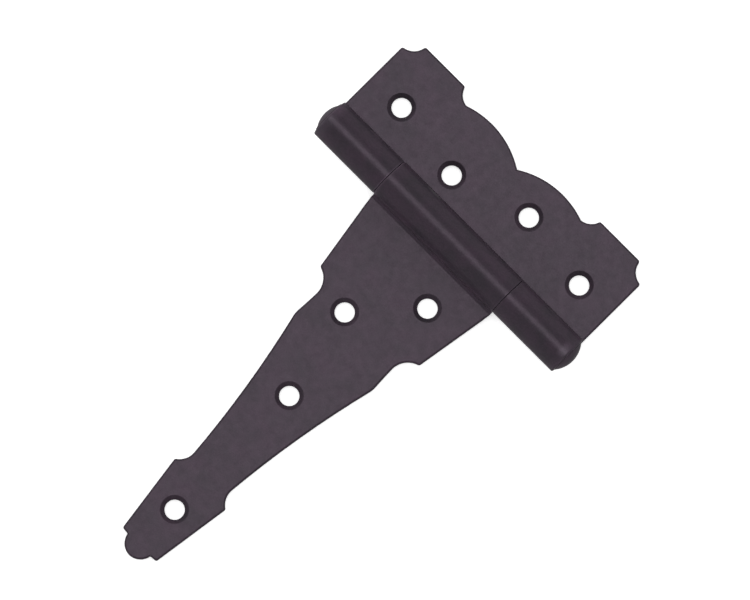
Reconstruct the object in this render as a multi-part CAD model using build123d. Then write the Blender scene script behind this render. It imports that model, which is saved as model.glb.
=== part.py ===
from build123d import *
import os
from math import acos, asin, cos, degrees, pi, sin, sqrt

os.makedirs("parts", exist_ok=True)

# A surface-mounted tee hinge, lying open and flat on its back.
# Frame: X runs along the pin, +Y towards the butt leaf (the cross piece of the T),
# -Y along the strap, +Z out of the front, where the knuckles stand proud.
# The origin is the middle of the pin's axis, dropped onto the mounting plane z = 0.
# Millimetres throughout.

# ---------------------------------------------------------------- driving dimensions
sheet = 2.0              # thickness of both leaves
barrel_r = 5.0           # outside radius of the rolled knuckles
bore_r = barrel_r - sheet            # inside radius of the rolled knuckles
pin_clearance = 0.06     # radial running clearance in the strap's knuckle
pin_r = bore_r - pin_clearance
edge_round = 0.42        # rounding of every sheared edge, tumbled and coated
cusp_round = 0.55        # rounding of the outward corners, seen from the front
notch_round = 0.30       # rounding of the inward corners, seen from the front
curl_gap = 0.18          # slit between a curl's free end and its own sheet
seam_round = 0.14        # tighter rounding of the knuckle ends that face each other
root_bend = 0.88         # inside radius of the bend where the strap rises to its knuckle
root_fade = 1.30         # length over which edge_round fades to seam_round before it
peen_round = 0.90        # rounding hammered on the barrel's two outer ends, in front
peen_shift = (peen_round - edge_round) / 2   # it fades to edge_round at the back

leaf_half = 38.1         # half the butt leaf's length (76.2 mm, 3 in)
leaf_width = 26.93       # from the pin's axis to the butt leaf's outer edge
slot_half = 19.02        # half the opening between the two outer knuckles
slot_depth = 4.85        # from the pin's axis to the bottom of that opening

strap_half = 18.93       # half the length of the centre knuckle
strap_reach = 101.6      # from the pin's axis to the strap's tip (4 in)

hole_r = 2.30            # screw holes, 4.6 mm
sink_r = 3.24            # outer radius of the 90 degree countersinks
sink_rim = 0.16          # softened rim of the countersinks

leaf_holes = [(-28.45, 13.4), (-9.55, 10.6), (9.55, 16.2), (28.45, 13.4)]
strap_holes = [(8.0, -14.6), (-4.6, -28.45), (0.0, -50.66), (0.0, -87.1)]

grip_r = bore_r          # the pin is swelled to fill the outer knuckles
grip_length = 9.0        # length of each swelled end
head_r = 4.22            # factory head, at +X
head_rise = 1.62
head_rim = 0.12
tail_r = 4.12            # peened tail, at -X
tail_rim = 0.30
tail_dome_r = 3.60
tail_rise = 1.42


# ---------------------------------------------------------------- helpers
def chain(points):
    """Edges through a list of steps: a bare point is a straight run to it,
    ("arc", middle, end) is an arc, ("spline", [points]) a smooth curve."""
    edges = []
    at = points[0]
    for step in points[1:]:
        if step[0] == "arc":
            edges.append(ThreePointArc(at, step[1], step[2]))
            at = step[2]
        elif step[0] == "spline":
            edges.append(Spline([at] + list(step[1])))
            at = step[1][-1]
        else:
            edges.append(Line(at, step))
            at = step
    return edges


def mirrored(steps_start, steps):
    """The same steps run backwards on the other side of X = 0."""
    flip = lambda p: (-p[0], p[1])
    at = steps_start
    runs = []
    for step in steps:
        if step[0] == "arc":
            runs.append(("arc", step[1], at))
            at = step[2]
        elif step[0] == "spline":
            pts = [at] + list(step[1])
            runs.append(("spline", list(reversed(pts[:-1]))))
            at = pts[-1]
        else:
            runs.append(at)
            at = step
    out = []
    for run in reversed(runs):
        if run[0] == "arc":
            out.append(("arc", flip(run[1]), flip(run[2])))
        elif run[0] == "spline":
            out.append(("spline", [flip(p) for p in run[1]]))
        else:
            out.append(flip(run))
    return out


def plate(steps, outward, inward, root=0.0):
    """Extrude the outline, round its outward and inward corners, then round
    its front and back edges, but for the root edge on Y = root."""
    face = make_face(Curve() + chain(steps))
    body = extrude(face, amount=sheet, dir=(0, 0, 1))

    def uprights(places):
        found = []
        for edge in body.edges().filter_by(Axis.Z):
            c = edge.center()
            if any(abs(c.X - x) < 0.02 and abs(c.Y - y) < 0.02 for x, y in places):
                found.append(edge)
        return found

    both = lambda places: [(s * x, y) for x, y in places for s in (1, -1)]
    body = fillet(uprights(both(outward)), cusp_round)
    body = fillet(uprights(both(inward)), notch_round)

    rim = []
    for edge in body.edges():
        box = edge.bounding_box()
        flat = box.max.Z - box.min.Z < 1e-4
        at_root = abs(box.min.Y - root) < 1e-4 and abs(box.max.Y - root) < 1e-4
        if flat and not at_root:
            rim.append(edge)
    return fillet(rim, edge_round)


def sheet_across(x0, x1, round0, round1):
    """The sheet's own section in the plane Y = 0, with its corners rounded by
    round0 at x0 and round1 at x1."""
    section = Plane.XZ * (Pos((x0 + x1) / 2, sheet / 2) * Rectangle(x1 - x0, sheet))
    for x, r in ((x0, round0), (x1, round1)):
        ends = [v for v in section.vertices() if abs(v.X - x) < 1e-6]
        section = fillet(ends, r)
    return section


def curl(x0, x1, round0, round1):
    """A knuckle of the butt leaf from x0 to x1. Its section starts in the plane
    Y = 0, flush with the plate, and runs under the pin, up, over the front and
    down again to the plate's front face."""
    stop = asin((barrel_r - sheet - curl_gap) / barrel_r)
    return revolve(sheet_across(x0, x1, round0, round1),
                   Axis((0, 0, barrel_r), (-1, 0, 0)),
                   revolution_arc=270 + degrees(stop))


def risen_curl(half, fade_half):
    """The strap's knuckle. The sheet bends square up from the strap, rises to
    the height of the pin's axis, rolls over the front of the pin, down and
    under it, and ends behind its own bend. Before the bend a short run fades
    the plate's edge rounding to that of the knuckle."""
    root = Pos(0, -bend_y, 0) * sheet_across(-half, half, seam_round, seam_round)
    outer = Pos(0, -bend_y - root_fade, 0) * sheet_across(-fade_half, fade_half,
                                                          edge_round, edge_round)
    fade = loft([outer, root], ruled=True)
    bend_axis = Axis((0, -bend_y, sheet + root_bend), (1, 0, 0))
    bend = revolve(root, bend_axis, revolution_arc=90)
    upright = root.rotate(bend_axis, 90)
    climb = barrel_r - sheet - root_bend
    rise = extrude(upright, amount=climb, dir=(0, 0, 1))

    # the free end stops short of the bend's outer face by the slit
    arm = sqrt(bend_y ** 2 + climb ** 2)
    reach = root_bend + sheet + curl_gap
    short = degrees(acos((barrel_r ** 2 + arm ** 2 - reach ** 2)
                         / (2 * barrel_r * arm)) + asin(climb / arm))
    roll = revolve(Pos(0, 0, climb) * upright,
                   Axis((0, 0, barrel_r), (-1, 0, 0)), revolution_arc=360 - short)
    return fade + bend + rise + roll


def peened(body, side):
    """Round the barrel's outer end over, as the hammer that set the pin left
    it: most in front, fading to nothing at the back. side is +1 or -1."""
    radius = barrel_r + peen_shift
    inner, outer = radius - peen_round, radius + 1.5
    corner = Polyline((leaf_half - peen_round, radius), (leaf_half - peen_round, outer),
                      (leaf_half + 1.0, outer), (leaf_half + 1.0, inner),
                      (leaf_half, inner))
    bow = ThreePointArc((leaf_half, inner),
                        (leaf_half - peen_round * (1 - cos(pi / 4)),
                         radius - peen_round * (1 - sin(pi / 4))),
                        (leaf_half - peen_round, radius))
    ring = revolve(Plane.XZ * make_face(Curve() + [corner, bow]), Axis.X)
    if side < 0:
        ring = ring.rotate(Axis.Z, 180)
    return body - Pos(0, 0, barrel_r - peen_shift) * ring


def countersunk(body, places):
    """Screw holes with a 90 degree countersink in the front face."""
    depth = sink_r - hole_r
    over = 1.0
    for x, y in places:
        outline = Polyline((0, -over), (hole_r, -over), (hole_r, sheet - depth),
                           (sink_r + over, sheet + over), (0, sheet + over),
                           close=True)
        tool = revolve(Plane.XZ * make_face(outline), Axis.Z)
        body = body - Pos(x, y, 0) * tool
    rims = []
    for edge in body.edges():
        if edge.geom_type == GeomType.CIRCLE:
            c = edge.arc_center
            if (abs(edge.radius - sink_r) < 0.01
                    and abs(c.Z - sheet) < 0.01):
                rims.append(edge)
    return fillet(rims, sink_rim)


# ---------------------------------------------------------------- butt leaf
# Half outline from the middle of the outer edge to the root, on the +X side.
cusp_mid = (0.0, 21.95)                     # between the two lobes
lobe_top = (10.95, 25.26)
cove_in = (18.35, 24.06)                    # where a lobe meets its cove
cove_mid = (20.42, 24.98)
cove_out = (21.62, leaf_width)
corner_a = (34.35, leaf_width)              # quarter-round cove at each corner
corner_mid = (35.55, 24.38)
corner_b = (leaf_half, 23.28)

right_side = [("arc", lobe_top, cove_in),
              ("arc", cove_mid, cove_out),
              corner_a,
              ("arc", corner_mid, corner_b),
              (leaf_half, 0.0),
              (slot_half, 0.0),
              (slot_half, slot_depth),
              (0.0, slot_depth)]
leaf_outline = [cusp_mid] + right_side + mirrored(cusp_mid, right_side)

leaf_plate = plate(leaf_outline,
                   outward=[cove_out, corner_a, corner_b],
                   inward=[cusp_mid, cove_in, (slot_half, slot_depth)])
leaf_plate = countersunk(leaf_plate, leaf_holes)

butt_leaf = (leaf_plate
             + peened(curl(slot_half, leaf_half, seam_round, edge_round), 1)
             + peened(curl(-leaf_half, -slot_half, edge_round, seam_round), -1))

# ---------------------------------------------------------------- strap
bend_y = barrel_r + root_bend               # where the flat strap ends

# Half outline from the root to the tip, on the +X side.
shoulder = (15.87, -25.05)                  # upper shoulder, above its cove
root_y = -bend_y - root_fade
root_x = strap_half - root_fade * (strap_half - shoulder[0]) / (-shoulder[1] - bend_y)
root_end = (root_x, root_y - 0.3)           # a short straight run to start from
waist = (12.11, -30.30)
hip = (12.36, -35.40)
hip_end = (12.28, -37.00)
ankle = (6.02, -75.05)
spur = (8.14, -78.95)                       # lower shoulder, below its cove
tip_corner = (5.38, -98.26)
tip_notch = (3.62, -98.42)
tip_end = (0.0, -strap_reach)

strap_right = [root_end,
               shoulder,
               ("arc", (13.42, -26.50), waist),
               ("arc", (12.20, -32.60), hip),
               ("arc", (12.37, -36.20), hip_end),
               ("arc", (8.42, -56.00), ankle),
               ("arc", (6.42, -77.05), spur),
               tip_corner,
               tip_notch,
               ("arc", (2.55, -100.50), tip_end)]
right_steps = [(root_x, root_y)] + strap_right
strap_outline = ([(0.0, root_y)] + right_steps
                 + mirrored((0.0, root_y), right_steps))

strap_plate = plate(strap_outline,
                    outward=[shoulder, spur, tip_corner],
                    inward=[tip_notch], root=root_y)
strap_plate = countersunk(strap_plate, strap_holes)
strap_leaf = strap_plate + risen_curl(strap_half, root_x)

# ---------------------------------------------------------------- pin
# Turned profile in the plane of X and radius: shank, swelled ends, a button
# head at +X and a hammered tail at -X.
head_a = leaf_half + head_rim
head_b = leaf_half + head_rise
dome = head_b - head_a
head_dome_r = (head_r ** 2 + dome ** 2) / (2 * dome)
head_mid_x = head_b - head_dome_r * (1 - cos(0.5 * asin(head_r / head_dome_r)))
head_mid_r = head_dome_r * sin(0.5 * asin(head_r / head_dome_r))

tail_a = leaf_half + tail_rim
tail_b = leaf_half + tail_rise
tail_dome = tail_b - tail_a
tail_sphere = (tail_dome_r ** 2 + tail_dome ** 2) / (2 * tail_dome)
tail_mid_x = tail_b - tail_sphere * (1 - cos(0.5 * asin(tail_dome_r / tail_sphere)))
tail_mid_r = tail_sphere * sin(0.5 * asin(tail_dome_r / tail_sphere))
tail_soft = 0.24                            # rounding of the tail's outer rim

step_x = leaf_half - grip_length
lead = 0.35                                 # short cone from shank to swelled end

pin_steps = [(head_b, 0.0),
             ("arc", (head_mid_x, head_mid_r), (head_a, head_r)),
             (leaf_half, head_r),
             (leaf_half, grip_r),
             (step_x, grip_r),
             (step_x - lead, pin_r),
             (-step_x + lead, pin_r),
             (-step_x, grip_r),
             (-leaf_half, grip_r),
             (-leaf_half, tail_r),
             (-(tail_a - tail_soft), tail_r),
             ("arc", (-(tail_a - tail_soft * (1 - sin(pi / 4))),
                      tail_r - tail_soft * (1 - cos(pi / 4))),
              (-tail_a, tail_r - tail_soft)),
             (-tail_a, tail_dome_r),
             ("arc", (-tail_mid_x, tail_mid_r), (-tail_b, 0.0)),
             (head_b, 0.0)]
pin_face = make_face(Curve() + chain(pin_steps))
hinge_pin = Pos(0, 0, barrel_r) * revolve(pin_face, Axis.X)

# ---------------------------------------------------------------- write the pieces
for name, shape in (("butt_leaf", butt_leaf),
                    ("strap_leaf", strap_leaf),
                    ("hinge_pin", hinge_pin)):
    solids = shape.solids()
    print(name, "solids", len(solids), "valid", all(s.is_valid for s in solids),
          "volume %.1f mm3" % shape.volume)
    out = solids[0] if len(solids) == 1 else shape
    export_step(out, "parts/" + name + ".step")
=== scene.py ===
import bpy, math
from mathutils import Matrix, Vector

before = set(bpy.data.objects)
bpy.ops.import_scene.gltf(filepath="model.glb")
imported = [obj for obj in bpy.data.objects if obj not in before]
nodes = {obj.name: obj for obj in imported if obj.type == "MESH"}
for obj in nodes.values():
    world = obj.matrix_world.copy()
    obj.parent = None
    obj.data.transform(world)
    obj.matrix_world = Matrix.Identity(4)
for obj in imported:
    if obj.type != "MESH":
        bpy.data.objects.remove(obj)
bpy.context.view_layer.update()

scene = bpy.context.scene

TENT = 1.14              # light of the white tent all round
TENT_LOW, TENT_TOP = 1.22, 0.78      # its share at the horizon and overhead
TENT_LEAN = 0.30         # how much brighter the tent is beyond the pin's peened tail, at -X
TENT_IN_GLOSS = 0.17     # the share of it that the coat's gloss sees
BOX = 1.95               # overhead box, watts
BOX_TAIL = 1.0           # low box beyond the pin's tail, watts
BOX_LEAF = 0.22          # low box beyond the butt leaf, watts
BOX_CORNER = 0.50        # each of the low boxes at the table's four corners, watts
TABLE_GLOW = 0.48        # light that comes up through the table's white sheet

# ---------------------------------------------------------------- camera
# Nearly straight down on the hinge's front, leaning 4.4 degrees towards the lower edge
# of the picture, with the pin's axis running from upper left to lower right.
right = Vector((0.70514127, 0.70904232, -0.00589688))
up = Vector((-0.70665244, 0.70340165, 0.07660585))
back = Vector((0.05846466, -0.0498509, 0.99704402))
cam_data = bpy.data.cameras.new("camera")
cam_data.sensor_width = 36.0
cam_data.lens = 424.5207
cam_data.clip_start, cam_data.clip_end = 0.1, 20.0
cam = bpy.data.objects.new("camera", cam_data)
scene.collection.objects.link(cam)
cam.matrix_world = Matrix((
    (right.x, up.x, back.x, 0.11507179),
    (right.y, up.y, back.y, -0.12123424),
    (right.z, up.z, back.z, 1.99312036),
    (0, 0, 0, 1)))
scene.camera = cam


# ---------------------------------------------------------------- materials
def node(tree, kind, **values):
    n = tree.nodes.new(kind)
    for k, v in values.items():
        setattr(n, k, v)
    return n


def powder_coat(name, grain_seed, tail_painted_highlight=1.0, head_painted_highlight=1.0, seam_painted_lift=(1.0, 1.0),
                head_painted_spot=1.0, crease_painted_fill=None, rough=(0.28, 0.34)):
    """Semi-matte black powder coat: fine melted-powder grain, a slow orange peel, faint drift in
    tone and gloss. Highlights and light are also painted into the colour. The two numbers after the
    seed say how much lighter the colour is painted over the barrel's hammered -X and +X ends, a
    painted highlight. The pair after that says how much lighter it is beside the -X and +X seams, a
    painted highlight where the knuckle edges catch the light. The next says how much lighter it is
    on top of the barrel just before the pin's head, a painted highlight. The last gives the place
    and reach in Y and in Z of the inside corner beside the barrel, and how much lighter the colour
    is painted there to undo the shade in that corner."""
    mat = bpy.data.materials.new(name)
    mat.use_nodes = True
    t = mat.node_tree
    t.nodes.clear()
    out = node(t, "ShaderNodeOutputMaterial")
    bsdf = node(t, "ShaderNodeBsdfPrincipled")
    t.links.new(bsdf.outputs["BSDF"], out.inputs["Surface"])
    bsdf.inputs["Metallic"].default_value = 0.0
    bsdf.inputs["Specular IOR Level"].default_value = 0.5
    bsdf.inputs["Specular Tint"].default_value = (1.0, 0.825, 1.0, 1.0)

    coords = node(t, "ShaderNodeTexCoord")
    place = node(t, "ShaderNodeMapping")
    place.inputs["Location"].default_value = (grain_seed, 0.37 * grain_seed, 0.0)
    t.links.new(coords.outputs["Object"], place.inputs["Vector"])

    # tone: cloudy drift a few millimetres across, over a fine speckle
    cloud = node(t, "ShaderNodeTexNoise")
    cloud.inputs["Scale"].default_value = 210.0
    cloud.inputs["Detail"].default_value = 3.0
    cloud.inputs["Roughness"].default_value = 0.55
    t.links.new(place.outputs["Vector"], cloud.inputs["Vector"])
    tone = node(t, "ShaderNodeValToRGB")
    tone.color_ramp.elements[0].position = 0.32
    tone.color_ramp.elements[0].color = (0.0236, 0.0195, 0.0248, 1)
    tone.color_ramp.elements[1].position = 0.68
    tone.color_ramp.elements[1].color = (0.0332, 0.0221, 0.0322, 1)
    t.links.new(cloud.outputs["Fac"], tone.inputs["Fac"])
    speck = node(t, "ShaderNodeTexNoise")
    speck.inputs["Scale"].default_value = 3200.0
    speck.inputs["Detail"].default_value = 2.0
    t.links.new(place.outputs["Vector"], speck.inputs["Vector"])
    speck_tone = node(t, "ShaderNodeMapRange")
    speck_tone.inputs["From Min"].default_value = 0.30
    speck_tone.inputs["From Max"].default_value = 0.70
    speck_tone.inputs["To Min"].default_value = 0.86
    speck_tone.inputs["To Max"].default_value = 1.14
    t.links.new(speck.outputs["Fac"], speck_tone.inputs["Value"])
    colour = node(t, "ShaderNodeVectorMath", operation="SCALE")
    t.links.new(tone.outputs["Color"], colour.inputs[0])
    t.links.new(speck_tone.outputs["Result"], colour.inputs["Scale"])

    # painted highlight over the hammered ends: only above the plates, within 2 mm of each end
    apart = node(t, "ShaderNodeSeparateXYZ")
    t.links.new(coords.outputs["Object"], apart.inputs["Vector"])
    above = node(t, "ShaderNodeMapRange", interpolation_type="SMOOTHSTEP")
    above.inputs["From Min"].default_value = 0.0030
    above.inputs["From Max"].default_value = 0.0055
    t.links.new(apart.outputs["Z"], above.inputs["Value"])
    def near(axis, at, reach):
        """1 at the given place along an axis, falling softly to 0 at the given distance."""
        gap = node(t, "ShaderNodeMath", operation="SUBTRACT")
        t.links.new(apart.outputs[axis], gap.inputs[0])
        gap.inputs[1].default_value = at
        size = node(t, "ShaderNodeMath", operation="ABSOLUTE")
        t.links.new(gap.outputs["Value"], size.inputs[0])
        fall = node(t, "ShaderNodeMapRange", interpolation_type="SMOOTHSTEP")
        fall.inputs["From Min"].default_value = reach
        fall.inputs["From Max"].default_value = 0.2 * reach
        t.links.new(size.outputs["Value"], fall.inputs["Value"])
        return fall

    def lighten(colour, masks, amount):
        """The colour times the amount where all the masks are 1; this paints light into the colour.
        """
        there = masks[0].outputs["Result"]
        for mask in masks[1:]:
            both = node(t, "ShaderNodeMath", operation="MULTIPLY")
            t.links.new(there, both.inputs[0])
            t.links.new(mask.outputs["Result"], both.inputs[1])
            there = both.outputs["Value"]
        lift = node(t, "ShaderNodeMapRange")
        lift.inputs["To Min"].default_value = 1.0
        lift.inputs["To Max"].default_value = amount
        t.links.new(there, lift.inputs["Value"])
        painted_lift = node(t, "ShaderNodeVectorMath", operation="SCALE")
        t.links.new(colour.outputs["Vector"], painted_lift.inputs[0])
        t.links.new(lift.outputs["Result"], painted_lift.inputs["Scale"])
        return painted_lift

    for edge, inner, end_painted_highlight in ((-0.0381, -0.0352, tail_painted_highlight), (0.0381, 0.0360, head_painted_highlight)):
        along = node(t, "ShaderNodeMapRange", interpolation_type="SMOOTHSTEP")
        along.inputs["From Min"].default_value = inner
        along.inputs["From Max"].default_value = edge
        t.links.new(apart.outputs["X"], along.inputs["Value"])
        colour = lighten(colour, [above, along], end_painted_highlight)
    # painted highlight beside each seam, stronger at -X, where the knuckle edges catch the light
    for seam, seam_lift in ((-0.018975, seam_painted_lift[0]), (0.018975, seam_painted_lift[1])):
        colour = lighten(colour, [above, near("X", seam, 0.00055)], seam_lift)
    # painted highlight: a lighter spot on top of the barrel just before the pin's head
    if head_painted_spot > 1.0:
        colour = lighten(colour, [above, near("X", 0.0368, 0.0015), near("Y", 0.0002, 0.0024)],
                         head_painted_spot)
    # painted light: the inside corner beside the barrel is lightened to undo the shade there
    if crease_painted_fill:
        y, y_reach, z, z_reach, amount = crease_painted_fill
        colour = lighten(colour, [near("Y", y, y_reach), near("Z", z, z_reach)], amount)
    t.links.new(colour.outputs["Vector"], bsdf.inputs["Base Color"])

    # gloss: drifts a little with the film's thickness
    gloss = node(t, "ShaderNodeTexNoise")
    gloss.inputs["Scale"].default_value = 620.0
    gloss.inputs["Detail"].default_value = 4.0
    t.links.new(place.outputs["Vector"], gloss.inputs["Vector"])
    gloss_map = node(t, "ShaderNodeMapRange")
    gloss_map.inputs["From Min"].default_value = 0.3
    gloss_map.inputs["From Max"].default_value = 0.7
    gloss_map.inputs["To Min"].default_value = rough[0]
    gloss_map.inputs["To Max"].default_value = rough[1]
    t.links.new(gloss.outputs["Fac"], gloss_map.inputs["Value"])
    t.links.new(gloss_map.outputs["Result"], bsdf.inputs["Roughness"])

    # relief: orange peel about 1 mm across and melted grains about 0.25 mm across
    peel = node(t, "ShaderNodeTexNoise")
    peel.inputs["Scale"].default_value = 900.0
    peel.inputs["Detail"].default_value = 1.0
    t.links.new(place.outputs["Vector"], peel.inputs["Vector"])
    peel_bump = node(t, "ShaderNodeBump")
    peel_bump.inputs["Strength"].default_value = 0.6
    peel_bump.inputs["Distance"].default_value = 0.00004
    t.links.new(peel.outputs["Fac"], peel_bump.inputs["Height"])
    grain = node(t, "ShaderNodeTexNoise")
    grain.inputs["Scale"].default_value = 4200.0
    grain.inputs["Detail"].default_value = 2.0
    t.links.new(place.outputs["Vector"], grain.inputs["Vector"])
    grain_bump = node(t, "ShaderNodeBump")
    grain_bump.inputs["Strength"].default_value = 0.6
    grain_bump.inputs["Distance"].default_value = 0.000016
    t.links.new(grain.outputs["Fac"], grain_bump.inputs["Height"])
    t.links.new(peel_bump.outputs["Normal"], grain_bump.inputs["Normal"])
    t.links.new(grain_bump.outputs["Normal"], bsdf.inputs["Normal"])
    return mat


# the two numbers after a seed, where given, are painted highlights over the barrel's -X and +X ends
coats = {"butt_leaf": powder_coat("coat_leaf", 0.0, 1.6, 1.15, (1.7, 1.2), head_painted_spot=2.0,
                                  crease_painted_fill=(0.0058, 0.0022, 0.0036, 0.0034, 1.45), rough=(0.278, 0.338)),
         "strap_leaf": powder_coat("coat_strap", 1.7, seam_painted_lift=(1.7, 1.2),
                                   crease_painted_fill=(-0.0051, 0.0011, 0.0045, 0.0035, 1.65), rough=(0.29, 0.35)),
         "hinge_pin": powder_coat("coat_pin", 3.1, 1.5, 1.1)}
for name, mat in coats.items():
    ob = nodes[name]
    ob.data.materials.clear()
    ob.data.materials.append(mat)

# ---------------------------------------------------------------- floor and light
floor_mesh = bpy.data.meshes.new("floor")
s = 1.6
floor_mesh.from_pydata([(-s, -s, -0.00005), (s, -s, -0.00005), (s, s, -0.00005), (-s, s, -0.00005)],
                       [], [(0, 1, 2, 3)])
floor = bpy.data.objects.new("floor", floor_mesh)
scene.collection.objects.link(floor)
paper = bpy.data.materials.new("paper")
paper.use_nodes = True
pb = paper.node_tree.nodes["Principled BSDF"]
pb.inputs["Base Color"].default_value = (0.93, 0.93, 0.93, 1)
pb.inputs["Roughness"].default_value = 0.9
pb.inputs["Specular IOR Level"].default_value = 0.1
pb.inputs["Emission Color"].default_value = (1, 1, 1, 1)
pb.inputs["Emission Strength"].default_value = TABLE_GLOW
floor.data.materials.append(paper)
floor.visible_glossy = False

# A broad white tent, brighter beyond the pin's peened tail. Its reflection in the coat is
# kept low, as with black flags round a set, and the overhead box makes the gloss.
world = bpy.data.worlds.new("studio")
world.use_nodes = True
wt = world.node_tree
sky = wt.nodes["Background"]
sky.inputs["Color"].default_value = (1, 1, 1, 1)
w_co = node(wt, "ShaderNodeTexCoord")
w_dot = node(wt, "ShaderNodeVectorMath", operation="DOT_PRODUCT")
w_dot.inputs[1].default_value = (-0.97, 0.24, 0.0)
wt.links.new(w_co.outputs["Generated"], w_dot.inputs[0])
w_map = node(wt, "ShaderNodeMapRange")
w_map.inputs["From Min"].default_value = -1.0
w_map.inputs["From Max"].default_value = 1.0
w_map.inputs["To Min"].default_value = TENT * (1 - TENT_LEAN)
w_map.inputs["To Max"].default_value = TENT * (1 + TENT_LEAN)
wt.links.new(w_dot.outputs["Value"], w_map.inputs["Value"])
w_part = node(wt, "ShaderNodeSeparateXYZ")
wt.links.new(w_co.outputs["Generated"], w_part.inputs["Vector"])
w_high = node(wt, "ShaderNodeMapRange")
w_high.inputs["From Min"].default_value = 0.0
w_high.inputs["From Max"].default_value = 0.8
w_high.inputs["To Min"].default_value = TENT_LOW
w_high.inputs["To Max"].default_value = TENT_TOP
wt.links.new(w_part.outputs["Z"], w_high.inputs["Value"])
w_path = node(wt, "ShaderNodeLightPath")
w_share = node(wt, "ShaderNodeMapRange")
w_share.inputs["To Min"].default_value = 1.0
w_share.inputs["To Max"].default_value = TENT_IN_GLOSS
wt.links.new(w_path.outputs["Is Glossy Ray"], w_share.inputs["Value"])
w_mul = node(wt, "ShaderNodeMath", operation="MULTIPLY")
wt.links.new(w_map.outputs["Result"], w_mul.inputs[0])
wt.links.new(w_share.outputs["Result"], w_mul.inputs[1])
w_all = node(wt, "ShaderNodeMath", operation="MULTIPLY")
wt.links.new(w_mul.outputs["Value"], w_all.inputs[0])
wt.links.new(w_high.outputs["Result"], w_all.inputs[1])
wt.links.new(w_all.outputs["Value"], sky.inputs["Strength"])
scene.world = world


def softbox(name, direction, distance, size, power, aim=(0.0, -0.035, 0.0)):
    data = bpy.data.lights.new(name, "AREA")
    data.shape = "DISK"
    data.size = size
    data.energy = power
    ob = bpy.data.objects.new(name, data)
    scene.collection.objects.link(ob)
    d = Vector(direction).normalized()
    ob.location = Vector(aim) + d * distance
    ob.rotation_mode = "QUATERNION"
    ob.rotation_quaternion = d.to_track_quat("Z", "Y")
    return ob


softbox("overhead", (-0.066, 0.045, 0.997), 1.5, 0.64, BOX)
softbox("beyond_tail", (-0.93, 0.10, 0.36), 1.4, 0.70, BOX_TAIL)
softbox("beyond_leaf", (0.10, 0.87, 0.50), 1.4, 0.70, BOX_LEAF)
for x in (-1, 1):
    for y in (-1, 1):
        softbox("corner_%d_%d" % (x, y), (0.64 * x, 0.66 * y, 0.40), 1.4, 0.50, BOX_CORNER)

scene.view_settings.view_transform = "Standard"
scene.view_settings.look = "None"
scene.view_settings.exposure = 0.0
scene.view_settings.gamma = 1.0
